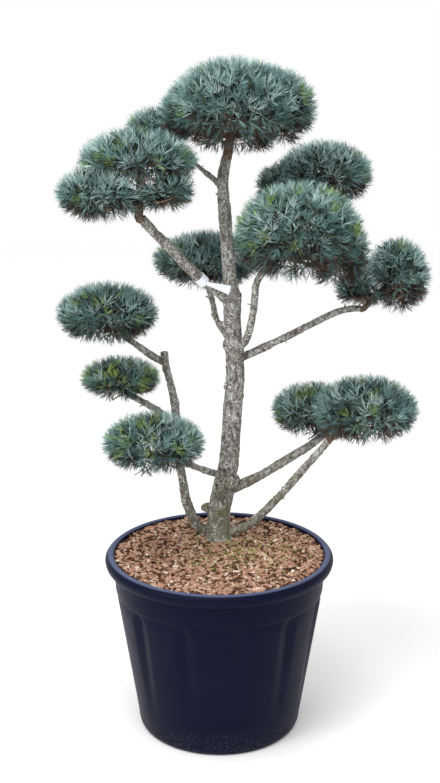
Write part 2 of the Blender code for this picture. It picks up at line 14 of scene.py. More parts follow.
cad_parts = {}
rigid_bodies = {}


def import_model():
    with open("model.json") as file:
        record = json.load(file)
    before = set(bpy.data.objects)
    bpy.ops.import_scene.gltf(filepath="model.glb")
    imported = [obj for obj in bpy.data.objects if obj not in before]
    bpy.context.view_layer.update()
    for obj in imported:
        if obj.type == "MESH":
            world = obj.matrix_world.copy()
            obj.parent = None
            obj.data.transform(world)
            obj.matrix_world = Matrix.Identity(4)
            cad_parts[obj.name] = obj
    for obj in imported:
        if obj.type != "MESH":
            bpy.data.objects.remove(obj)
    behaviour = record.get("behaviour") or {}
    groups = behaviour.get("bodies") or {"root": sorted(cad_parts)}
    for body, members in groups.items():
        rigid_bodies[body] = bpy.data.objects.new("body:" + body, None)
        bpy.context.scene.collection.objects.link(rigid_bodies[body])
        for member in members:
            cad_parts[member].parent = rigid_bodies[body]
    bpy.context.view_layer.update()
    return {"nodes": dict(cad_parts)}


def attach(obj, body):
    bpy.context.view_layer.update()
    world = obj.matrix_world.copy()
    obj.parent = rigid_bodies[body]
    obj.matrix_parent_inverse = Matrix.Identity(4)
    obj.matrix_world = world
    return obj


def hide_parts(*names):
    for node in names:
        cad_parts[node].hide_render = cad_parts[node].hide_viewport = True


# Pot, as in the source, in finer steps
POT_HEIGHT = 0.495
RIM_RADIUS = 0.309
RIM_BAND = 0.036
COLLAR_TOP_RADIUS = 0.287
COLLAR_RADIUS = 0.281
COLLAR_BOTTOM = 0.392
BASE_RADIUS = 0.224
BASE_ROUNDING = 0.030
POT_WALL = 0.005
POT_FLOOR = 0.008
POT_STEPS = 300
WALL_ROWS = 30
RIM_STEPS = 5
BASE_STEPS = 6
COLLAR_STEP = 0.004
FLUTES = 12
FLUTE_DEPTH = 0.010
FLUTE_TOP = 0.365
FLUTE_BOTTOM = 0.060
FLUTE_ARCH = 0.020
FLUTE_BELOW_COLLAR = 0.004
FLUTE_TOP_STEEPNESS = 2.2
HALF_FLUTES_IN_PITCH = 5
FLUTED_FROM = 0.8
SHARP_EDGE = math.radians(38)
FIRST_FLUTE = math.radians(10.8)
SOIL_TOP = 0.478
GAP = 0.0003

# Bark bed: level round the trunk, banked up from a share of its radius to the rim
BED_RADIUS = 0.2825
BED_MIDDLE = 0.4795
BED_EDGE = 0.4860
BED_LEVEL_SHARE = 0.45
BED_SWELL = 0.0016
BED_UNDER_CHIPS = 0.0015
BED_RINGS = 30
BED_SIDES = 120

# Trunk: height, x, y and radius from the soil to the tip in the top mass
TRUNK = (
    (SOIL_TOP + GAP, -0.002, 0.131, 0.0400),
    (0.500, -0.002, 0.131, 0.0345),
    (0.560, -0.001, 0.128, 0.0315),
    (0.625, 0.011, 0.125, 0.0320),
    (0.665, 0.019, 0.123, 0.0300),
    (0.720, 0.028, 0.119, 0.0275),
    (0.835, 0.034, 0.112, 0.0262),
    (0.960, 0.043, 0.104, 0.0252),
    (1.045, 0.038, 0.098, 0.0240),
    (1.120, 0.035, 0.093, 0.0238),
    (1.176, 0.033, 0.088, 0.0250),
    (1.225, 0.028, 0.085, 0.0185),
    (1.320, 0.020, 0.078, 0.0163),
    (1.385, 0.016, 0.072, 0.0165),
    (1.450, 0.010, 0.065, 0.0155),
    (1.490, 0.009, 0.061, 0.0160),
    (1.545, 0.020, 0.060, 0.0130),
)

# Knots and cut stubs on the trunk: seat, way out, reach, radius
KNOTS = (
    ((-0.028, 0.120, 0.575), (-1.0, -0.25, 0.1), 0.024, 0.0135),
    ((0.005, 0.105, 0.672), (-0.7, -0.9, 0.0), 0.016, 0.0150),
    ((0.030, 0.112, 0.640), (0.9, -0.3, 0.2), 0.022, 0.0190),
    ((0.018, 0.086, 1.100), (-1.0, -0.3, 0.5), 0.026, 0.0085),
    ((0.012, 0.082, 1.180), (-1.0, -0.3, 0.3), 0.016, 0.0140),
)

# Swellings of the bark where boughs leave the trunk, and two small ones between, in the same form
BURLS = (
    ((0.042, 0.080, 1.182), (1.0, -0.4, 0.3), 0.016, 0.017),
    ((0.048, 0.090, 1.024), (1.0, -0.5, 0.0), 0.017, 0.024),
    ((0.026, 0.090, 1.046), (-0.9, -0.6, 0.0), 0.014, 0.020),
    ((0.038, 0.104, 0.655), (0.9, -0.5, 0.0), 0.017, 0.026),
    ((0.004, 0.106, 0.650), (-0.7, -0.8, 0.0), 0.015, 0.022),
    ((0.024, 0.094, 0.700), (0.1, -1.0, 0.1), 0.010, 0.017),
    ((0.020, 0.096, 0.930), (-0.9, -0.5, 0.1), 0.007, 0.009),
    ((0.058, 0.094, 0.905), (1.0, -0.5, 0.0), 0.008, 0.010),
)

# Bark in relief: sides round a limb, steps along it, height of the plates
PLATE_SCALE = (95, 95, 48)
TRUNK_SIDES = 56
TRUNK_STEP = 0.0030
TRUNK_RELIEF = 0.0024
ROOT_FLARE = 0.010
FLARE_HEIGHT = 0.022
THICK_LIMB = 0.012
THICK_LIMB_SIDES = 28
THIN_LIMB_SIDES = 22
LIMB_STEP = 0.0036
LIMB_RELIEF = 0.0015
RELIEF_PER_RADIUS = 0.03
KNOB_ROWS = 10
KNOB_SIDES = 16
KNOB_SKIN = 0.001
KNOB_RELIEF = 0.0011
TRUNK_STUBS = 7
LIMB_STUBS = 2
STUB_SIDES = 7
STUB_REACH = (0.004, 0.012)
STUB_RADIUS = (0.0016, 0.0030)

# Where each kind of limb starts in the bark's pattern, so that no two look alike
TRUNK_PATTERN = 0.0
KNOB_PATTERN = 7.0
LIMB_PATTERN = 20.0
STEM_PATTERN = 60.0

# Limbs: the parent and where it is left, the way through the air to the tip, end radii
LIMBS = {
    "left_stem": dict(
        foot=(-0.043, 0.166), radii=(0.0155, 0.0100),
        way=((-0.068, 0.168, 0.512), (-0.096, 0.168, 0.594), (-0.117, 0.166, 0.758),
             (-0.124, 0.160, 0.872), (-0.145, 0.155, 0.965), (-0.151, 0.152, 1.013)),
    ),
    "bough_low_right_front": dict(
        parent="trunk", leaves_at=0.492, radii=(0.0125, 0.0100),
        way=((0.076, 0.105, 0.526), (0.146, 0.072, 0.604), (0.206, 0.042, 0.688),
             (0.262, 0.020, 0.764), (0.292, 0.012, 0.804)),
    ),
    "bough_low_right_back": dict(
        parent="trunk", leaves_at=0.618, radii=(0.0150, 0.0110),
        way=((0.075, 0.118, 0.650), (0.130, 0.122, 0.679), (0.241, 0.142, 0.743),
             (0.292, 0.152, 0.779)),
    ),
    "bough_low_left": dict(
        parent="trunk", leaves_at=0.665, radii=(0.0105, 0.0080),
        way=((-0.027, 0.062, 0.700), (-0.072, 0.000, 0.738), (-0.100, -0.025, 0.762)),
    ),
    "bough_left_small": dict(
        parent="left_stem", leaves_at=0.805, radii=(0.0100, 0.0085),
        way=((-0.174, 0.150, 0.851), (-0.236, 0.130, 0.893)),
    ),
    "bough_left_upper": dict(
        parent="left_stem", leaves_at=0.985, radii=(0.0105, 0.0092),
        way=((-0.180, 0.150, 1.001), (-0.245, 0.128, 1.055)),
    ),
    "bough_far_right": dict(
        parent="trunk", leaves_at=1.002, radii=(0.0115, 0.0082),
        way=((0.115, 0.090, 1.038), (0.210, 0.080, 1.088), (0.316, 0.070, 1.143),
             (0.374, 0.072, 1.150)),
    ),
    "bough_front_right": dict(
        parent="trunk", leaves_at=1.022, radii=(0.0110, 0.0088),
        way=((0.073, 0.060, 1.073), (0.089, 0.030, 1.154), (0.096, 0.006, 1.229),
             (0.120, -0.018, 1.275)),
    ),
    "bough_back": dict(
        parent="trunk", leaves_at=1.045, radii=(0.0090, 0.0078),
        way=((-0.004, 0.140, 1.099), (-0.018, 0.200, 1.140), (-0.028, 0.240, 1.168)),
    ),
    "bough_upper_left": dict(
        parent="trunk", leaves_at=1.172, radii=(0.0150, 0.0120),
        way=((-0.039, 0.048, 1.224), (-0.124, 0.000, 1.320), (-0.161, -0.020, 1.360),
             (-0.196, -0.030, 1.400)),
    ),
    "bough_right_back": dict(
        parent="trunk", leaves_at=1.272, radii=(0.0105, 0.0085),
        way=((0.112, 0.160, 1.340), (0.217, 0.238, 1.408)),
    ),
    "bough_upper_back": dict(
        parent="trunk", leaves_at=1.470, radii=(0.0070, 0.0055),
        way=((-0.049, 0.120, 1.512), (-0.115, 0.208, 1.563)),
    ),
}

# Foliage masses: the limb that carries each, and its lobes as centre and half sizes
MASSES = {
    "foliage_top": ("trunk", (
        ((0.040, 0.060, 1.670), (0.178, 0.165, 0.131)),
        ((-0.071, 0.070, 1.649), (0.094, 0.090, 0.084)),
        ((0.144, 0.055, 1.667), (0.110, 0.102, 0.108)),
    )),
    "foliage_upper_left": ("bough_upper_left", (
        ((-0.201, -0.020, 1.544), (0.154, 0.139, 0.089)),
        ((-0.289, -0.065, 1.465), (0.123, 0.114, 0.082)),
        ((-0.141, -0.055, 1.474), (0.089, 0.085, 0.068)),
    )),
    "foliage_upper_back": ("bough_upper_back", (
        ((-0.160, 0.240, 1.608), (0.099, 0.091, 0.067)),
    )),
    "foliage_right_back": ("bough_right_back", (
        ((0.286, 0.270, 1.483), (0.139, 0.128, 0.100)),
        ((0.160, 0.252, 1.458), (0.070, 0.070, 0.063)),
    )),
    "foliage_front_right": ("bough_front_right", (
        ((0.199, -0.060, 1.368), (0.165, 0.148, 0.136)),
        ((0.120, -0.060, 1.350), (0.090, 0.090, 0.090)),
        ((0.299, -0.050, 1.319), (0.090, 0.090, 0.102)),
    )),
    "foliage_far_right": ("bough_far_right", (
        ((0.468, 0.085, 1.232), (0.096, 0.091, 0.111)),
        ((0.372, 0.085, 1.203), (0.076, 0.072, 0.062)),
    )),
    "foliage_back": ("bough_back", (
        ((-0.034, 0.300, 1.243), (0.156, 0.144, 0.089)),
    )),
    "foliage_left_upper": ("bough_left_upper", (
        ((-0.299, 0.110, 1.129), (0.142, 0.130, 0.092)),
    )),
    "foliage_left_small": ("bough_left_small", (
        ((-0.268, 0.110, 0.951), (0.115, 0.106, 0.069)),
    )),
    "foliage_low_left": ("bough_low_left", (
        ((-0.170, -0.070, 0.823), (0.140, 0.129, 0.089)),
    )),
    "foliage_low_right_back": ("bough_low_right_back", (
        ((0.258, 0.165, 0.845), (0.121, 0.110, 0.087)),
    )),
    "foliage_low_right_front": ("bough_low_right_front", (
        ((0.388, 0.020, 0.886), (0.146, 0.131, 0.101)),
    )),
}
SPACE_MARGIN = 0.10
LIMB_CLEARANCE = 0.001
HIDDEN_LIMIT = 0.80
HUB_SHARE = 0.42
STEM_SUNK = 0.004
STEM_SIDES = 12
STEM_STEP = 0.006
STEM_RELIEF = 0.0008
STEM_SHARES = (0.98, 0.98, 0.85, 0.60)
STEM_STRAIGHT = 0.008
STEM_END = 0.8
SPOKES = 6
SPOKE_RADIUS = 0.0060
SPOKE_REACH = 0.80
SPOKE_DROP = 0.35
SPOKE_SAG = 0.008
SPOKE_SIDES = 8
SPOKE_STEPS = 6
SPOKE_FORKS = (0.3, 0.5, 0.7, 0.85, 1.0)
SEED = 11
GOLDEN_ANGLE = math.pi * (3 - math.sqrt(5))

# How high a tuft sits on its dome, from 1 at the top to -1 below: where the underside starts,
# where it thins out and how far, and where tufts end
DOME_EDGE = -0.2
THIN_BELOW = -0.45
THINNING_RUN = 0.8
THINNED_MOST = 0.40
UNDERSIDE_LIMIT = -0.92
BRANCHLET_UNDERSIDE_LIMIT = -0.88
INNER_UNDERSIDE_LIMIT = -0.80

# Finer twigs: the part of a lobe's surface for one branchlet, and the shoots of the tufts
BRANCHLET_AREA = 0.0045
BRANCHLET_SHARE = 0.60
BRANCHLET_DROP = 0.10
BRANCHLET_RADII = (0.0026, 0.0017)
BRANCHLET_SIDES = 5
BRANCHLET_STEPS = 4
BRANCHLET_SAG = 0.004
TUFT_DEPTH = (0.016, 0.034)
TUFT_SCATTER = 0.30
SHOOT_LENGTH = 0.026
SHOOT_RADII = (0.0015, 0.0010)
SHOOT_SCATTER = 0.20
TWIG_SIDES = 4

# Needles: five to a bundle, bundles in whorls round the end of a shoot, young ones at the tip
IN_BUNDLE = 5
NEEDLE_LENGTH = (0.027, 0.035)
NEEDLE_WIDTH = 0.00125
NEEDLE_NARROWING = 0.85
NEEDLE_STATIONS = (0.0, 0.30, 0.70, 1.0)
NEEDLE_CURVE = 0.16
NEEDLE_DROOP = 0.03
FIRST_LEAN = 14
LEAN_RANGE = 66
WHORL_SHARE = 0.7
YOUNG_WHORLS = 0.62
BUNDLE_SPREAD = 0.15
OUTLINE_LIMIT = 1.035 ** 2

# A needle is a flat blade of four triangles on six points
BLADE = np.array([(0, 2, 1), (1, 2, 4), (1, 4, 3), (3, 4, 5)])

# Layers of tufts: surface for each, share of the lobe's size, bundles on a shoot
LAYERS = ((0.00074, 1.0, 10), (0.0021, 0.72, 8))

# Needle colours: silver and pale teal are the needles' own blue-green, partly lightened as painted
# highlight; the near-black one is painted shade for the gaps deep in the masses
NEEDLE_COLOURS = (
    ("needle_silver", (0.440, 0.590, 0.570)),
    ("needle_pale_teal", (0.235, 0.385, 0.370)),
    ("needle_teal", (0.108, 0.210, 0.205)),
    ("needle_green", (0.085, 0.160, 0.125)),
    ("needle_painted_shade", (0.012, 0.021, 0.021)),
    ("needle_yellow_green", (0.250, 0.370, 0.100)),
    ("needle_brown", (0.090, 0.046, 0.032)),
)
SILVER, PALE, TEAL, GREEN, DARK, YELLOW, BROWN = range(len(NEEDLE_COLOURS))

# Shares of the colours in the young whorls, from the top of a dome to its underside: silver and pale on
# top as painted light, dark below as painted shade, brown for dead needles
YOUNG = (
    (0.35, {SILVER: 0.34, PALE: 0.38, TEAL: 0.22, GREEN: 0.06}),
    (-0.15, {SILVER: 0.20, PALE: 0.34, TEAL: 0.32, GREEN: 0.14}),
    (-0.42, {PALE: 0.20, TEAL: 0.34, GREEN: 0.26, DARK: 0.20}),
    (-1.0, {TEAL: 0.16, GREEN: 0.18, DARK: 0.34, BROWN: 0.32}),
)

# Shares in the old whorls, darker partly for age and mostly as painted shade deep in the tufts; of
# yellow-green tufts in each mass, and of brown below the middle
OLD = {TEAL: 0.24, GREEN: 0.22, DARK: 0.54}
YELLOW_SHARE = {"foliage_left_small": 0.30, "foliage_front_right": 0.16, "foliage_low_left": 0.14,
                "foliage_low_right_front": 0.12, "foliage_low_right_back": 0.12}
YELLOW_ELSEWHERE = 0.05
BROWN_SHARE = 0.45
# Share of the inner layer's young needles painted dark as shade inside the masses, the rest green
INNER_PAINTED_SHADE_SHARE = 0.8

# Bark chips on the soil
CHIPS = 4600
CHIP_SIZES = ((0.008, 0.005, 0.0020), (0.021, 0.011, 0.0050))
CHIP_WEAR = (0.55, 1.1)
CHIP_TILT = 0.32
CHIP_ROLL = 0.28
CHIP_RISE = 0.0045
CHIPS_OFF_WALL = 0.004
CHIPS_OFF_TRUNK = 0.043
CHIPS_OFF_STEM = 0.019
MOSS_BITS = 1000
MOSS_SIZES = ((0.003, 0.003, 0.002), (0.009, 0.007, 0.005))
MOSS_PLACE = (0.050, 0.015)
MOSS_SPREAD = (0.090, 0.080)
CHIP_COLOURS = (
    ("chip_rose_brown", (0.430, 0.245, 0.170)),
    ("chip_dark_brown", (0.105, 0.050, 0.030)),
    ("chip_tan", (0.560, 0.390, 0.280)),
    ("chip_pale", (0.720, 0.620, 0.520)),
    ("moss", (0.330, 0.320, 0.105)),
)
CHIP_SHARES = (0.50, 0.27, 0.17, 0.06)
DARK_CHIP, MOSS = 1, 4

# Camera at the photo's viewing angle, soft lamps, pale floor
CAMERA_PLACE = (0.002, -3.2, 1.8)
CAMERA_DOWN = 15.0
CAMERA_LENS = 57.995
CAMERA_SENSOR = 36.0
LAMPS = (
    ("soft_top", (-0.6, -1.2, 4.2), 2.2, 80),
    ("soft_left", (-2.8, -2.4, 2.6), 1.6, 46),
)
LAMP_AIM = (0, 0, 1.1)
FLOOR_REACH = 9
FLOOR_GREY = 0.97


# Paths and meshes

def smooth_path(points, steps):
    """A smooth line through points, with a number of steps between each two."""
    points = [Vector(point) for point in points]
    first = points[0] * 2 - points[1]
    last = points[-1] * 2 - points[-2]
    ends = [first] + points + [last]
    path = []
    for i in range(1, len(ends) - 2):
        a, b, c, d = ends[i - 1:i + 3]
        for k in range(steps):
            t = k / steps
            path.append(0.5 * (2 * b + (c - a) * t + (2 * a - 5 * b + 4 * c - d) * t * t
                               + (3 * b - 3 * c + d - a) * t ** 3))
    path.append(points[-1])
    return path


def at_height(path, height):
    """The point where a rising path reaches a height."""
    for a, b in zip(path, path[1:]):
        if a.z <= height <= b.z:
            return a.lerp(b, (height - a.z) / (b.z - a.z))
    raise ValueError(height)


def limb_lines():
    """Centre lines and radii of the trunk and of every limb, as in the source."""
    path = [Vector((x, y, z)) for z, x, y, radius in TRUNK]
    lines = {"trunk": (path, [station[3] for station in TRUNK])}
    for name, limb in LIMBS.items():
        if "parent" in limb:
            start = at_height(lines[limb["parent"]][0], limb["leaves_at"])
            path = smooth_path((start, *limb["way"]), 2)
        else:
            x, y = limb["foot"]
            ground = Vector((x, y, SOIL_TOP + GAP))
            path = [ground] + smooth_path((ground + Vector((0, 0, 0.012)), *limb["way"]), 2)
        thick, thin = limb["radii"]
        share = [i / (len(path) - 1) for i in range(len(path))]
        lines[name] = (path, [thick + (thin - thick) * t for t in share])
    return lines


def unit(vectors):
    return vectors / np.maximum(np.linalg.norm(vectors, axis=-1, keepdims=True), 1e-9)


def any_sides(directions):
    """Two directions square to each given one."""
    helper = np.where(np.abs(directions[..., 2:3]) < 0.8, (0.0, 0.0, 1.0), (1.0, 0.0, 0.0))
    u = unit(np.cross(directions, helper))
    return u, np.cross(directions, u)


def ring_triangles(rings, sides):
    """Triangles that join rings of vertices in a row."""
    k = np.arange(sides)
    n = (k + 1) % sides
    row = np.concatenate([np.stack([k, n, n + sides], 1), np.stack([k, n + sides, k + sides], 1)])
    return (row[None] + np.arange(rings - 1)[:, None, None] * sides).reshape(-1, 3)


def make_piece(name, points, triangles, materials, slot, kinds=None, smooth=False, stands_for=()):
    """A mesh that moves with the plant's one body."""
    mesh = bpy.data.meshes.new(name)
    mesh.vertices.add(len(points))
    mesh.vertices.foreach_set("co", np.ascontiguousarray(points, np.float32).ravel())
    mesh.loops.add(3 * len(triangles))
    mesh.loops.foreach_set("vertex_index", np.ascontiguousarray(triangles, np.int32).ravel())
    mesh.polygons.add(len(triangles))
    mesh.polygons.foreach_set("loop_start", np.arange(0, 3 * len(triangles), 3, dtype=np.int32))
    for material in materials:
        mesh.materials.append(material)
    if kinds is not None:
        mesh.polygons.foreach_set("material_index", np.ascontiguousarray(kinds, np.int32))
    mesh.polygons.foreach_set("use_smooth", np.full(len(triangles), smooth))
    mesh.update(calc_edges=True)
    item = bpy.data.objects.new(name, mesh)
    bpy.context.scene.collection.objects.link(item)
    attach(item, "root")
    if stands_for:
        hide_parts(*stands_for)
    return item


class Pile:
    """Meshes gathered into one."""

    def __init__(self):
        self.points = []
        self.triangles = []
        self.kinds = []
        self.count = 0

    def add(self, points, triangles, kind=0):
        points = np.asarray(points, float).reshape(-1, 3)
        triangles = np.asarray(triangles, int).reshape(-1, 3)
        self.points.append(points)
        self.triangles.append(triangles + self.count)
        self.kinds.append(np.broadcast_to(kind, len(triangles)))
        self.count += len(points)

    def piece(self, name, materials, slot, **options):
        return make_piece(name, np.concatenate(self.points), np.concatenate(self.triangles),
                          materials, slot, kinds=np.concatenate(self.kinds), **options)


# Materials

class Look:
    """A Principled material and short calls for the nodes that feed it."""

    def __init__(self, name, colour=(0.5, 0.5, 0.5), roughness=0.6, specular=0.5):
        self.material = bpy.data.materials.new(name)
        self.material.use_nodes = True
        self.tree = self.material.node_tree
        self.shader = self.tree.nodes["Principled BSDF"]
        self.shader.inputs["Base Color"].default_value = (*colour, 1.0)
        self.shader.inputs["Roughness"].default_value = roughness
        self.shader.inputs["Specular IOR Level"].default_value = specular

    def node(self, kind, inputs=None, **settings):
        made = self.tree.nodes.new("ShaderNode" + kind)
        for key, value in settings.items():
            setattr(made, key, value)
        for key, value in (inputs or {}).items():
            if isinstance(value, bpy.types.NodeSocket):
                self.tree.links.new(value, made.inputs[key])
            else:
                made.inputs[key].default_value = value
        return made

    def place(self, stretch=(1, 1, 1)):
        where = self.node("TexCoord").outputs["Object"]
        return self.node("Mapping", {"Vector": where, "Scale": stretch}).outputs["Vector"]

    def noise(self, where, scale, detail=4.0, roughness=0.6):
        inputs = {"Vector": where, "Scale": scale, "Detail": detail, "Roughness": roughness}
        return self.node("TexNoise", inputs).outputs["Fac"]

    def ramp(self, value, *stops):
        made = self.node("ValToRGB", {"Fac": value})
        while len(made.color_ramp.elements) < len(stops):
            made.color_ramp.elements.new(0.5)
        for element, (position, colour) in zip(made.color_ramp.elements, stops):
            element.position = position
            element.color = (*colour, 1.0)
        return made.outputs["Color"]

    def mask(self, value, low, high):
        inputs = {"Value": value, "From Min": low, "From Max": high}
        return self.node("MapRange", inputs, clamp=True).outputs["Result"]

    def times(self, a, b):
        return self.node("Math", {0: a, 1: b}, operation="MULTIPLY").outputs["Value"]

    def mix(self, share, a, b):
        made = self.node("Mix", data_type="RGBA")
        for socket, value in ((made.inputs[0], share), (made.inputs[6], a), (made.inputs[7], b)):
            if isinstance(value, bpy.types.NodeSocket):
                self.tree.links.new(value, socket)
            elif isinstance(value, tuple):
                socket.default_value = (*value, 1.0)
            else:
                socket.default_value = value
        return made.outputs[2]

    def feed(self, socket, value):
        self.tree.links.new(value, self.shader.inputs[socket])

    def bump(self, height, distance, strength=1.0):
        made = self.node("Bump", {"Height": height, "Distance": distance, "Strength": strength})
        self.feed("Normal", made.outputs["Normal"])


def bark_look():
    look = Look("bark_relief", roughness=0.93, specular=0.15)
    where = look.place()
    long_way = look.place((1, 1, 0.45))
    fine = look.noise(where, 210, 6, 0.7)
    plates = look.noise(long_way, 100, 8, 0.80)
    base = look.ramp(plates, (0.34, (0.030, 0.026, 0.020)), (0.45, (0.115, 0.103, 0.085)),
                     (0.54, (0.270, 0.256, 0.230)), (0.62, (0.520, 0.510, 0.480)))
    flecks = look.mask(look.noise(where, 170, 6, 0.80), 0.52, 0.60)
    patches = look.mask(look.noise(where, 30, 4, 0.70), 0.38, 0.52)
    lichen = look.times(flecks, patches)
    base = look.mix(look.times(lichen, 0.95), base, (0.760, 0.780, 0.750))
    pits = look.mask(fine, 0.45, 0.37)
    base = look.mix(look.times(pits, 0.85), base, (0.028, 0.022, 0.017))
    height = look.node("SeparateXYZ", {"Vector": where}).outputs["Z"]
    low = look.times(look.mask(height, 0.76, 0.62), look.mask(look.noise(where, 34), 0.46, 0.62))
    base = look.mix(look.times(low, 0.70), base, (0.125, 0.135, 0.050))
    look.feed("Base Color", base)
    look.bump(fine, 0.0016, 0.9)
    return look.material


def twig_look():
    look = Look("twig_bark", roughness=0.9, specular=0.15)
    grain = look.noise(look.place(), 160, 4)
    look.feed("Base Color", look.ramp(grain, (0.35, (0.055, 0.034, 0.024)),
                                      (0.52, (0.135, 0.088, 0.062)), (0.70, (0.270, 0.205, 0.155))))
    return look.material


def pot_look():
    look = Look("pot_black_plastic", roughness=0.40, specular=0.05)
    where = look.place()
    cloud = look.noise(where, 7, 5)
    base = look.mix(cloud, (0.0026, 0.0036, 0.0150), (0.0052, 0.0068, 0.0220))
    height = look.node("SeparateXYZ", {"Vector": where}).outputs["Z"]
    low = look.mask(height, 0.085, 0.010)
    specks = look.mask(look.noise(where, 330, 3), 0.56, 0.66)
    base = look.mix(look.times(look.times(low, specks), 0.55), base, (0.170, 0.165, 0.175))
    dust = look.mask(look.noise(where, 540, 2), 0.70, 0.76)
    base = look.mix(look.times(dust, 0.30), base, (0.120, 0.125, 0.150))
    # Painted highlight: a lighter blue band along the top of the rim, standing for the sheen on the
    # glossy crest
    crest = look.mask(height, POT_HEIGHT - 0.0030, POT_HEIGHT - 0.0004)
    base = look.mix(look.times(crest, 0.80), base, (0.100, 0.120, 0.210))
    look.feed("Base Color", base)
    wear = look.node("MapRange", {"Value": look.noise(where, 18, 6), "To Min": 0.34, "To Max": 0.50})
    look.feed("Roughness", wear.outputs["Result"])
    return look.material


def soil_look():
    look = Look("soil_ground", roughness=0.97, specular=0.1)
    grain = look.noise(look.place(), 120, 6, 0.7)
    look.feed("Base Color", look.ramp(grain, (0.35, (0.050, 0.027, 0.017)),
                                      (0.50, (0.140, 0.078, 0.050)), (0.68, (0.300, 0.190, 0.130))))
    look.bump(grain, 0.004)
    return look.material


def tag_look():
    look = Look("tag_white_plastic", roughness=0.38, specular=0.5)
    cloud = look.noise(look.place(), 40, 3)
    look.feed("Base Color", look.mix(cloud, (0.74, 0.80, 0.88), (0.86, 0.89, 0.93)))
    return look.material


def chip_look(name, colour):
    look = Look(name, roughness=0.92, specular=0.12)
    grain = look.noise(look.place(), 260, 4, 0.65)
    darker = tuple(value * 0.62 for value in colour)
    lighter = tuple(min(1.0, value * 1.22) for value in colour)
    look.feed("Base Color", look.ramp(grain, (0.34, darker), (0.50, colour), (0.66, lighter)))
    return look.material


# Pot and soil

def flute_in(angle, height):
    """How far the wall is pressed in by the flutes at an angle from the front."""
    pitch = 2 * math.pi / FLUTES
    half_width = pitch / HALF_FLUTES_IN_PITCH
    off = abs((angle - FIRST_FLUTE + pitch / 2) % pitch - pitch / 2) / half_width
    if off >= 1:
        return 0.0
    top = COLLAR_BOTTOM - FLUTE_BELOW_COLLAR - FLUTE_ARCH * off * off
    rise = (height - FLUTE_BOTTOM) / (FLUTE_TOP - FLUTE_BOTTOM)
    fall = (top - height) / (COLLAR_BOTTOM - FLUTE_TOP) * FLUTE_TOP_STEEPNESS
    return FLUTE_DEPTH * (1 - off) * max(0.0, min(1.0, rise, fall))


def pot_section():
    """Half section of the pot from the middle of its floor over the rim to its underside."""
    slope = (COLLAR_RADIUS - BASE_RADIUS) / (COLLAR_BOTTOM - BASE_ROUNDING)
    body_top = COLLAR_RADIUS - COLLAR_STEP
    wall = []
    for i in range(WALL_ROWS + 1):
        height = BASE_ROUNDING + (COLLAR_BOTTOM - BASE_ROUNDING) * i / WALL_ROWS
        wall.append((min(BASE_RADIUS + slope * (height - BASE_ROUNDING), body_top), height))
    crest = POT_HEIGHT
    foot = crest - RIM_BAND
    inner_top = COLLAR_TOP_RADIUS - 0.006
    rim = [(inner_top, foot + 0.010), (inner_top + 0.003, crest - 0.005),
           (inner_top + 0.011, crest), (RIM_RADIUS - 0.009, crest - 0.001),
           (RIM_RADIUS, crest - 0.013), (RIM_RADIUS - 0.003, crest - 0.029),
           (RIM_RADIUS - 0.012, foot)]
    rim = [(p.x, p.z) for p in smooth_path([(r, 0, z) for r, z in rim], RIM_STEPS)]
    section = [(0.0, POT_FLOOR), (wall[0][0] - POT_WALL - 0.012, POT_FLOOR)]
    section += [(radius - POT_WALL, height) for radius, height in wall]
    section += rim
    section += [(COLLAR_TOP_RADIUS + 0.002, foot - 0.0005), (COLLAR_TOP_RADIUS, foot - 0.002),
                (COLLAR_RADIUS + 0.003, 0.425), (COLLAR_RADIUS + 0.0012, 0.400),
                (COLLAR_RADIUS, COLLAR_BOTTOM + 0.0025), (COLLAR_RADIUS - 0.0012, COLLAR_BOTTOM + 0.0008),
                (body_top, COLLAR_BOTTOM)]
    section += wall[-2::-1]
    for i in range(1, BASE_STEPS + 1):
        turn = math.radians(90) * i / BASE_STEPS
        section.append((BASE_RADIUS - BASE_ROUNDING * 0.45 * (1 - math.cos(turn)),
                        BASE_ROUNDING * (1 - math.sin(turn))))
    section.append((0.0, 0.0))
    return section


def make_pot(material):
    section = np.array(pot_section())
    angles = np.arange(POT_STEPS) * math.tau / POT_STEPS
    points = []
    for radius, height in section:
        on_wall = radius > BASE_RADIUS * FLUTED_FROM
        ring = radius - np.array([flute_in(angle, height) if on_wall else 0.0 for angle in angles])
        points.append(np.stack([ring * np.sin(angles), -ring * np.cos(angles),
                                np.full(POT_STEPS, height)], 1))
    item = make_piece("pot_shell", np.concatenate(points), ring_triangles(len(section), POT_STEPS),
                      [material], "pot_plastic", smooth=True, stands_for=("pot",))
    item.data.set_sharp_from_angle(angle=SHARP_EDGE)


def bed_height(spot):
    """The height of the bark bed, level round the trunk and banked up towards the rim."""
    far = math.hypot(*spot) / BED_RADIUS
    banked = max(0.0, far - BED_LEVEL_SHARE) / (1 - BED_LEVEL_SHARE)
    swell = noise.noise(Vector((spot[0] * 24, spot[1] * 24, 3.0))) * BED_SWELL
    return BED_MIDDLE + (BED_EDGE - BED_MIDDLE) * banked + swell


def box_triangles():
    """The triangles of a box whose corners run through x, y and z in turn."""
    faces = [(0, 1, 3, 2), (4, 6, 7, 5), (0, 4, 5, 1), (2, 3, 7, 6), (0, 2, 6, 4), (1, 5, 7, 3)]
    return np.array([t for a, b, c, d in faces for t in ((a, b, c), (a, c, d))])


def laid_down(shape, tilt, roll, turn):
    """A chip's corners, tilted and rolled a little and turned about the upright."""
    ct, st, cr, sr = math.cos(tilt), math.sin(tilt), math.cos(roll), math.sin(roll)
    lean = np.array([(ct, 0, st), (sr * st, cr, -sr * ct), (-cr * st, sr, cr * ct)])
    spin = np.array([(math.cos(turn), -math.sin(turn), 0), (math.sin(turn), math.cos(turn), 0),
                     (0, 0, 1)])
    return shape @ lean.T @ spin.T


def bed_points():
    """Rings of points from the middle of the bed to its edge, just under the chips."""
    points = []
    for i in range(BED_RINGS):
        for k in range(BED_SIDES):
            angle = math.tau * k / BED_SIDES
            spot = np.array([math.cos(angle), math.sin(angle)]) * BED_RADIUS * (i / (BED_RINGS - 1))
            points.append((spot[0], spot[1], bed_height(spot) - BED_UNDER_CHIPS))
    return points


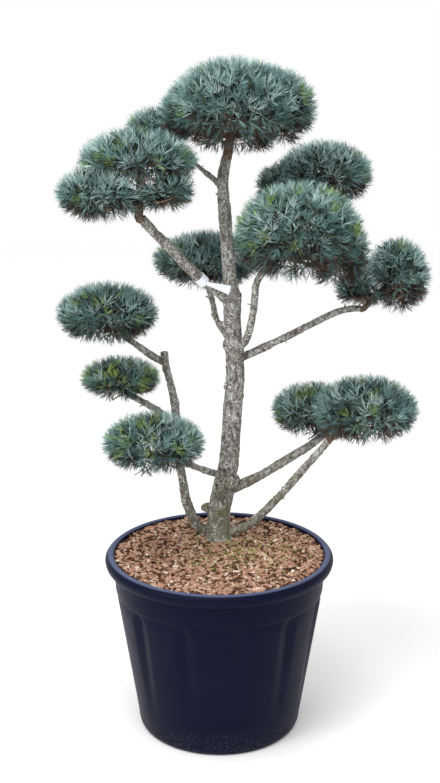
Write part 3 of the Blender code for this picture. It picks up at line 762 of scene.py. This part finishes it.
def make_chips(materials, lines, chance):
    """Bark chips, pale chips and moss bits lying on the soil as one mesh."""
    feet = [(lines["trunk"][0][0], CHIPS_OFF_TRUNK), (lines["left_stem"][0][0], CHIPS_OFF_STEM)]
    corners = np.array([(x, y, z) for x in (-1, 1) for y in (-1, 1) for z in (-1, 1)], float) / 2
    box = box_triangles()
    pile = Pile()
    pile.add(bed_points(), ring_triangles(BED_RINGS, BED_SIDES), DARK_CHIP)
    for number in range(CHIPS + MOSS_BITS):
        moss = number >= CHIPS
        if moss:
            spot = np.array(MOSS_PLACE) + chance.normal(size=2) * MOSS_SPREAD
        else:
            turn, far = chance.uniform(0, math.tau), BED_RADIUS * math.sqrt(chance.uniform())
            spot = np.array([math.cos(turn), math.sin(turn)]) * far
        near_foot = any(math.dist(spot, foot.xy) < radius for foot, radius in feet)
        if near_foot or math.hypot(*spot) > BED_RADIUS - CHIPS_OFF_WALL:
            continue
        size = chance.uniform(*CHIP_SIZES)
        if moss:
            size = chance.uniform(*MOSS_SIZES)
        top = bed_height(spot) + chance.uniform(0.0, CHIP_RISE)
        shape = corners * size * chance.uniform(*CHIP_WEAR, (8, 1))
        tilt, roll = chance.normal(0, CHIP_TILT), chance.normal(0, CHIP_ROLL)
        turn = chance.uniform(0, math.tau)
        kind = MOSS if moss else int(chance.choice(len(CHIP_SHARES), p=CHIP_SHARES))
        pile.add(laid_down(shape, tilt, roll, turn) + (spot[0], spot[1], top), box, kind)
    pile.piece("soil_chips", materials, "bark_mulch")


# Trunk and limbs

def resampled(path, radii, step):
    """A path at even steps along its smooth line, with its radii."""
    dense = np.array(smooth_path(path, 10))
    wide = np.array([p.x for p in smooth_path([(r, 0, 0) for r in radii], 10)])
    along = np.concatenate([[0], np.cumsum(np.linalg.norm(np.diff(dense, axis=0), axis=1))])
    count = max(3, int(along[-1] / step))
    at = np.linspace(0, along[-1], count)
    centre = np.stack([np.interp(at, along, dense[:, i]) for i in range(3)], 1)
    return centre, np.interp(at, along, wide), at


def relief(point, seed):
    """Height of the bark at a point: plates with fissures between them, and a fine grain."""
    where = Vector([value * scale for value, scale in zip(point, PLATE_SCALE)])
    where += Vector((seed, 0, 0))
    near = noise.voronoi(where)[0]
    fissure = min(1.0, (near[1] - near[0]) * 3.2) - 1.0
    grain = noise.fractal(where * 2.3, 0.9, 2.1, 3)
    swell = noise.noise(where * 0.28)
    lump = max(0.0, noise.noise(where * 0.55 + Vector((0, 9, 0))) - 0.30) * 3.0
    return fissure * 0.60 + grain * 0.50 + swell * 0.9 + lump * 0.9


def bark_tube(path, radii, sides, step, depth, seed, foot=0.0):
    """Points and triangles of one limb with its bark in relief."""
    centre, radius, at = resampled(path, radii, step)
    ahead = unit(np.gradient(centre, axis=0))
    u = any_sides(ahead[:1])[0][0]
    points = []
    turns = np.arange(sides) * math.tau / sides
    for i, (middle, wide, way) in enumerate(zip(centre, radius, ahead)):
        u = unit(u - way * (u @ way))
        v = np.cross(way, u)
        around = np.cos(turns)[:, None] * u + np.sin(turns)[:, None] * v
        grown = np.full(sides, wide)
        if foot:
            flare = foot * math.exp(-at[i] / FLARE_HEIGHT)
            grown += flare * np.maximum(0, np.sin(turns * 2.5 + 0.6) * np.sin(turns + 1.1)) ** 0.7
        ring = middle + around * grown[:, None]
        out = np.array([relief(p, seed) for p in ring])
        points.append(ring + around * (out * depth)[:, None])
    points = np.concatenate(points)
    triangles = ring_triangles(len(centre), sides)
    tip = len(points)
    last = tip - sides
    k = np.arange(sides)
    cap = np.stack([last + k, last + (k + 1) % sides, np.full(sides, tip)], 1)
    points = np.concatenate([points, (centre[-1] + ahead[-1] * radius[-1] * 0.35)[None]])
    return points, np.concatenate([triangles, cap])


def knob(seat, way, reach, radius, seed):
    """A rounded knot or stub with bark on it."""
    way = unit(np.array(way, float))
    u, v = (side[0] for side in any_sides(way[None]))
    points = []
    for i in range(KNOB_ROWS + 1):
        turn = math.pi * i / KNOB_ROWS
        for k in range(KNOB_SIDES):
            angle = math.tau * k / KNOB_SIDES
            out = u * math.cos(angle) + v * math.sin(angle)
            p = np.array(seat) + way * (math.cos(turn) * reach) + out * (math.sin(turn) * radius)
            points.append(p + (out + way) * relief(p, seed) * KNOB_RELIEF)
    return np.array(points), ring_triangles(KNOB_ROWS + 1, KNOB_SIDES)


def make_limbs(material, lines, chance):
    """Trunk, left stem and boughs with bark, knots and cut spurs, each a piece of its own."""
    pile = Pile()
    pile.add(*bark_tube(*lines["trunk"], TRUNK_SIDES, TRUNK_STEP, TRUNK_RELIEF, TRUNK_PATTERN,
                        foot=ROOT_FLARE))
    for number, (seat, way, reach, radius) in enumerate(KNOTS + BURLS):
        pile.add(*knob(seat, way, reach + KNOB_SKIN, radius + KNOB_SKIN, KNOB_PATTERN + number))
    for stub, triangles in stubs(lines, "trunk", TRUNK_STUBS, chance):
        pile.add(stub, triangles)
    pile.piece("trunk_bark", [material], "bark", smooth=True, stands_for=("trunk",))
    for number, name in enumerate(LIMBS):
        path, radii = lines[name]
        pile = Pile()
        thick = max(radii)
        sides = THICK_LIMB_SIDES if thick > THICK_LIMB else THIN_LIMB_SIDES
        depth = LIMB_RELIEF + thick * RELIEF_PER_RADIUS
        pile.add(*bark_tube(path, radii, sides, LIMB_STEP, depth, LIMB_PATTERN + number))
        for stub, triangles in stubs(lines, name, LIMB_STUBS, chance):
            pile.add(stub, triangles)
        pile.piece(name + "_bark", [material], "bark", smooth=True, stands_for=(name,))


def stubs(lines, name, count, chance):
    """Short dead spurs where twigs have been cut off a limb."""
    path, radii = lines[name]
    for _ in range(count):
        where = chance.uniform(0.25, 0.92) * (len(path) - 1)
        i = int(where)
        base = np.array(path[i].lerp(path[i + 1], where - i))
        way = np.array(path[i + 1] - path[i])
        u, v = (side[0] for side in any_sides(unit(way)[None]))
        turn = chance.uniform(0, math.tau)
        out = unit(u * math.cos(turn) + v * math.sin(turn) + unit(way) * 0.5)
        end = base + out * (radii[i] + chance.uniform(*STUB_REACH))
        wide = chance.uniform(*STUB_RADIUS)
        yield twigs(base[None], base[None] * 0.5 + end[None] * 0.5, end[None],
                    np.array([wide]), np.array([wide * 0.8]), STUB_SIDES)


# Foliage

def lobe_values(lobe, points):
    """Under 1 inside a lobe's outline, over 1 outside."""
    return (((points - lobe[0]) / lobe[1]) ** 2).sum(axis=1)


def mass_values(name, points):
    """The least of a mass's lobe values: under 1 inside the mass."""
    return np.min([lobe_values(lobe, points) for lobe in MASSES[name][1]], axis=0)


def in_own_space(name, points):
    """Which points lie nearer their own mass than any other one, by a margin."""
    others = [mass_values(other, points) for other in MASSES if other != name]
    return mass_values(name, points) + SPACE_MARGIN < np.min(others, axis=0)


def clear_of_limbs(points, segments):
    """Which points lie outside the trunk, left stem and boughs."""
    clear = np.ones(len(points), bool)
    for a, b, radius in segments:
        run = b - a
        t = np.clip((points - a) @ run / (run @ run), 0, 1)
        far = np.linalg.norm(points - a - t[:, None] * run, axis=1)
        clear &= far > radius + LIMB_CLEARANCE
    return clear


def lobe_area(half):
    """The surface of a lobe, near enough, from its half sizes."""
    a, b, c = (size ** 1.6 for size in half)
    return 4 * math.pi * ((a * b + a * c + b * c) / 3) ** (1 / 1.6)


def even_directions(count, turn):
    """Directions spread evenly over a ball by the golden angle."""
    i = np.arange(count)
    z = 1 - (2 * i + 1) / count
    ring = np.sqrt(1 - z * z)
    angle = turn + i * GOLDEN_ANGLE
    return np.stack([ring * np.cos(angle), ring * np.sin(angle), z], 1)


def twigs(starts, bends, ends, thick, thin, sides=TWIG_SIDES, steps=3):
    """Bent tapering twigs, many at a time."""
    rings = []
    u = None
    for i in range(steps + 1):
        t = i / steps
        middle = starts * (1 - t) ** 2 + bends * 2 * t * (1 - t) + ends * t * t
        ahead = unit((bends - starts) * (1 - t) + (ends - bends) * t)
        if u is None:
            u = any_sides(ahead)[0]
        u = unit(u - ahead * (u * ahead).sum(1, keepdims=True))
        v = np.cross(ahead, u)
        wide = (thick + (thin - thick) * t)[:, None]
        for k in range(sides):
            turn = math.tau * k / sides
            rings.append(middle + (u * math.cos(turn) + v * math.sin(turn)) * wide)
    rings.append(ends + ahead * wide)
    points = np.stack(rings, 1)
    last = steps * sides
    cap = [(last + k, last + (k + 1) % sides, last + sides) for k in range(sides)]
    one = np.concatenate([ring_triangles(steps + 1, sides), np.array(cap)])
    many = one[None] + (np.arange(len(starts)) * points.shape[1])[:, None, None]
    return points.reshape(-1, 3), many.reshape(-1, 3)


def nearest(points, nodes):
    """The node nearest to each point."""
    far = ((points[:, None] - nodes[None]) ** 2).sum(2)
    return nodes[far.argmin(1)]


def jitter(chance, count, size):
    return chance.normal(size=(count, 3)) * size


def deal(chance, shares, count):
    """Colours dealt out by their shares."""
    kinds = list(shares)
    odds = np.array([shares[kind] for kind in kinds], float)
    return chance.choice(kinds, size=count, p=odds / odds.sum())


def needles(chance, tips, shoots, bundles, young, old):
    """Needles in bundles of five round the ends of shoots, and the colour of each."""
    count = len(tips)
    f = np.arange(bundles)
    down = (f + 0.5) / bundles
    u, v = any_sides(shoots)
    turn = chance.uniform(0, math.tau, (count, 1)) + f * GOLDEN_ANGLE
    lean = np.radians(FIRST_LEAN + LEAN_RANGE * down ** 0.85)
    lean = lean + chance.normal(0, 0.12, (count, bundles))
    around = u[:, None] * np.cos(turn)[..., None] + v[:, None] * np.sin(turn)[..., None]
    way = shoots[:, None] * np.cos(lean)[..., None] + around * np.sin(lean)[..., None]
    root = tips[:, None] - shoots[:, None] * (down * SHOOT_LENGTH * WHORL_SHARE)[None, :, None]
    size = (count, bundles, IN_BUNDLE)
    way = unit(way[:, :, None] + chance.normal(0, BUNDLE_SPREAD, (*size, 3)))
    root = np.broadcast_to(root[:, :, None], way.shape)
    length = chance.uniform(*NEEDLE_LENGTH, size)[..., None]
    curve = np.broadcast_to(shoots[:, None, None], way.shape) * NEEDLE_CURVE
    curve = curve + chance.normal(0, 0.05, way.shape) - np.array((0, 0, NEEDLE_DROOP))
    side = unit(np.cross(way, chance.normal(size=way.shape))) * (NEEDLE_WIDTH / 2)
    line = [root + way * length * t + curve * length * t * t for t in NEEDLE_STATIONS]
    narrow = side * NEEDLE_NARROWING
    points = np.stack([line[0], line[1] - side, line[1] + side, line[2] - narrow,
                       line[2] + narrow, line[3]], -2).reshape(-1, 6, 3)
    whorl = np.where(down[None, :] < YOUNG_WHORLS, young[:, None], old[:, None])
    return points, np.repeat(whorl.reshape(-1), IN_BUNDLE)


def tufts(chance, lobe, area, share):
    """Ends and directions of the shoots that a lobe carries, and the way to each from its middle."""
    centre, half = np.array(lobe[0]), np.array(lobe[1])
    count = round(lobe_area(lobe[1]) / area)
    heading = even_directions(count, chance.uniform(0, math.tau))
    heading = unit(heading + jitter(chance, count, TUFT_SCATTER * math.sqrt(4 / count)))
    normal = unit(heading / half)
    depth = chance.uniform(*TUFT_DEPTH, (count, 1))
    tips = centre + heading * half * share - normal * depth * share
    on_dome = heading[:, 2:] > DOME_EDGE
    rise = np.where(on_dome, 0.40, 0.10)
    flat = unit(heading * (1, 1, 0.15))
    shoots = normal * np.where(on_dome, 0.85, 0.60) + flat * np.where(on_dome, 0.1, 0.5)
    shoots = unit(shoots + np.array((0, 0, 1.0)) * rise + jitter(chance, count, SHOOT_SCATTER))
    return tips, shoots, heading


def kept_tufts(name, lobe, area, share, segments, chance):
    """The tufts of one layer of a lobe, without those that are hidden, too low or out of place."""
    tips, shoots, heading = tufts(chance, lobe, area, share)
    level = heading[:, 2]
    thinned = np.clip((THIN_BELOW - level) / THINNING_RUN, 0, THINNED_MOST)
    keep = (level > UNDERSIDE_LIMIT) & (chance.uniform(size=len(tips)) > thinned)
    if share < 1:
        keep &= level > INNER_UNDERSIDE_LIMIT
    edge = np.array(lobe[0]) + heading * np.array(lobe[1]) * share
    for other in MASSES[name][1]:
        if other is not lobe:
            keep &= lobe_values(other, edge) > HIDDEN_LIMIT * share
    keep &= in_own_space(name, tips) & clear_of_limbs(tips, segments)
    return tips[keep], shoots[keep], level[keep]


def grow_spokes(name, number, lines, segments, chance, wood):
    """A mass's stem and the spokes from its hub under each dome, and where twigs fork off."""
    carrier, lobes = MASSES[name]
    path, radii = lines[carrier]
    heading = (path[-1] - path[-2]).normalized()
    start = path[-1] + heading * GAP
    main_centre = Vector(lobes[0][0])
    hub = start.lerp(main_centre, HUB_SHARE)
    stem = [start - heading * STEM_SUNK, start + heading * STEM_STRAIGHT, hub,
            start.lerp(main_centre, STEM_END)]
    widths = [radii[-1] * share for share in STEM_SHARES]
    wood.add(*bark_tube(stem, widths, STEM_SIDES, STEM_STEP, STEM_RELIEF, STEM_PATTERN + number))

    dealt = random.Random(SEED + number)
    ends = []
    for centre, half in lobes:
        for k in range(SPOKES):
            angle = k * GOLDEN_ANGLE + dealt.uniform(-0.3, 0.3)
            out = Vector((math.cos(angle) * half[0], math.sin(angle) * half[1], 0))
            ends.append(Vector(centre) + out * SPOKE_REACH - Vector((0, 0, half[2] * SPOKE_DROP)))
    ends = np.array(ends)
    ends = ends[in_own_space(name, ends) & clear_of_limbs(ends, segments)]
    hubs = np.broadcast_to(np.array(hub), ends.shape)
    bends = (hubs + ends) / 2 + jitter(chance, len(ends), SPOKE_SAG) - (0, 0, SPOKE_SAG)
    wide = np.full(len(ends), SPOKE_RADIUS * min(1.0, radii[-1] / 0.010))
    wood.add(*twigs(hubs, bends, ends, wide, wide / 2, SPOKE_SIDES, SPOKE_STEPS))
    nodes = [np.array(p) for p in smooth_path(stem[2:], 3)]
    for t in SPOKE_FORKS:
        nodes += list(hubs * (1 - t) ** 2 + bends * 2 * t * (1 - t) + ends * t * t)
    return np.array(nodes)


def branchlet_tips(lobe, chance):
    """Where the branchlets of a lobe end, evenly spread inside it."""
    centre, half = np.array(lobe[0]), np.array(lobe[1])
    way = even_directions(round(lobe_area(lobe[1]) / BRANCHLET_AREA), chance.uniform(0, math.tau))
    way = way[way[:, 2] > BRANCHLET_UNDERSIDE_LIMIT]
    tips = centre + way * half * BRANCHLET_SHARE - (0, 0, BRANCHLET_DROP * half[2])
    return tips + jitter(chance, len(tips), 0.007)


def grow_branchlets(name, tips, nodes, segments, chance, wood):
    """Branchlets from the stem and spokes to their tips, and all that shoots can leave from."""
    tips = tips[in_own_space(name, tips) & clear_of_limbs(tips, segments)]
    roots = nearest(tips, nodes)
    bends = (roots + tips) / 2 + jitter(chance, len(tips), 0.006) - (0, 0, BRANCHLET_SAG)
    thick, thin = (np.full(len(tips), radius) for radius in BRANCHLET_RADII)
    wood.add(*twigs(roots, bends, tips, thick, thin, BRANCHLET_SIDES, BRANCHLET_STEPS))
    return np.concatenate([nodes, tips, (roots + 2 * bends + tips) / 4])


def grow_shoots(tips, shoots, nodes, wood):
    """Thin shoots from the nearest twigs, turned at the end to the way their needles point."""
    bases = tips - shoots * SHOOT_LENGTH
    roots = nearest(bases - (0, 0, 0.01), nodes)
    thick, thin = (np.full(len(tips), radius) for radius in SHOOT_RADII)
    wood.add(*twigs(roots, bases, tips - shoots * 0.002, thick, thin))


def whorl_colours(name, level, share, chance):
    """Colours of the young and the old whorls of tufts, by how high each sits on its dome: painted light
    on top, painted shade below and in the inner layer.
    """
    young = np.zeros(len(level), int)
    top = math.inf
    for floor, shares in YOUNG:
        band = (level >= floor) & (level < top)
        young[band] = deal(chance, shares, band.sum())
        top = floor
    old = deal(chance, OLD, len(level))
    fresh = chance.uniform(size=len(level)) < YELLOW_SHARE.get(name, YELLOW_ELSEWHERE)
    young[fresh & (level > DOME_EDGE)] = YELLOW
    old[(chance.uniform(size=len(level)) < BROWN_SHARE) & (level < 0.0)] = BROWN
    # The inner layer is painted shade: mostly dark needles, with brown dead ones under the domes
    if share < 1:
        young = np.where(chance.uniform(size=len(level)) < INNER_PAINTED_SHADE_SHARE, DARK, GREEN)
        old = np.where(level < DOME_EDGE, BROWN, DARK)
    return young, old


def grow_needles(name, tips, shoots, bundles, colours, segments, chance, leaves):
    """The needles of tufts, without those that leave the mass's outline or touch a limb."""
    points, kinds = needles(chance, tips, shoots, bundles, *colours)
    ends, middles = points[:, 5], points[:, 3]
    keep = mass_values(name, ends) < OUTLINE_LIMIT
    keep &= in_own_space(name, ends) & clear_of_limbs(ends, segments)
    keep &= clear_of_limbs(middles, segments)
    points, kinds = points[keep], kinds[keep]
    blades = BLADE[None] + (np.arange(len(points)) * points.shape[1])[:, None, None]
    leaves.add(points, blades, np.repeat(kinds, len(BLADE)))


def make_mass(name, number, lines, segments, needle_materials, twig_material):
    """Stem, spokes, branchlets, shoots and needles of one mass."""
    chance = np.random.default_rng(SEED + number)
    wood = Pile()
    nodes = grow_spokes(name, number, lines, segments, chance, wood)
    forks = []
    tuft_sets = []
    for lobe in MASSES[name][1]:
        forks.append(branchlet_tips(lobe, chance))
        for area, share, bundles in LAYERS:
            kept = kept_tufts(name, lobe, area, share, segments, chance)
            tuft_sets.append((*kept, bundles, share))
    nodes = grow_branchlets(name, np.concatenate(forks), nodes, segments, chance, wood)
    leaves = Pile()
    for tips, shoots, level, bundles, share in tuft_sets:
        grow_shoots(tips, shoots, nodes, wood)
        colours = whorl_colours(name, level, share, chance)
        grow_needles(name, tips, shoots, bundles, colours, segments, chance, leaves)
    leaves.piece(name + "_needles", needle_materials, "needles", stands_for=(name,))
    wood.piece(name + "_twigs", [twig_material], "bark", smooth=True, stands_for=(name,))


# Camera, light and ground

def make_camera():
    data = bpy.data.cameras.new("camera")
    data.sensor_width = CAMERA_SENSOR
    data.lens = CAMERA_LENS
    camera = bpy.data.objects.new("camera", data)
    camera.location = CAMERA_PLACE
    camera.rotation_euler = (math.radians(90 - CAMERA_DOWN), 0, 0)
    bpy.context.scene.collection.objects.link(camera)
    bpy.context.scene.camera = camera


def make_area(name, place, size, power):
    data = bpy.data.lights.new(name, "AREA")
    data.shape = "DISK"
    data.size = size
    data.energy = power
    light = bpy.data.objects.new(name, data)
    light.location = place
    light.rotation_euler = (Vector(LAMP_AIM) - Vector(place)).to_track_quat("-Z", "Y").to_euler()
    bpy.context.scene.collection.objects.link(light)


def make_studio():
    scene = bpy.context.scene
    scene.view_settings.view_transform = "Standard"
    world = bpy.data.worlds.new("studio")
    scene.world = world
    world.use_nodes = True
    ground = world.node_tree.nodes["Background"]
    ground.inputs["Color"].default_value = (1.0, 1.0, 1.0, 1.0)
    ground.inputs["Strength"].default_value = 1.0
    for lamp in LAMPS:
        make_area(*lamp)
    far = FLOOR_REACH
    mesh = bpy.data.meshes.new("floor")
    mesh.from_pydata([(-far, -far, 0), (far, -far, 0), (far, far, 0), (-far, far, 0)], [],
                     [(0, 1, 2, 3)])
    mesh.materials.append(Look("pale_floor", (FLOOR_GREY,) * 3, 0.9, 0.1).material)
    floor = bpy.data.objects.new("floor", mesh)
    scene.collection.objects.link(floor)


def dress(item, material):
    """Give a node that stays in sight its material."""
    item.data.materials.clear()
    item.data.materials.append(material)


def limb_segments(lines):
    """The straight bits of every limb with their radii, for keeping twigs and needles off them."""
    return [(np.array(a), np.array(b), radius) for path, radii in lines.values()
            for a, b, radius in zip(path, path[1:], radii)]


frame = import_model()

limbs = limb_lines()
bits = limb_segments(limbs)
luck = np.random.default_rng(SEED)
dress(frame["nodes"]["potting_soil"], soil_look())
dress(frame["nodes"]["plant_tag"], tag_look())
make_pot(pot_look())
make_chips([chip_look(name, colour) for name, colour in CHIP_COLOURS], limbs, luck)
make_limbs(bark_look(), limbs, luck)
needle_looks = [Look(name, colour, 0.55, 0.30).material for name, colour in NEEDLE_COLOURS]
twig_bark = twig_look()
for place_in_row, mass in enumerate(MASSES):
    make_mass(mass, place_in_row, limbs, bits, needle_looks, twig_bark)
make_studio()
make_camera()
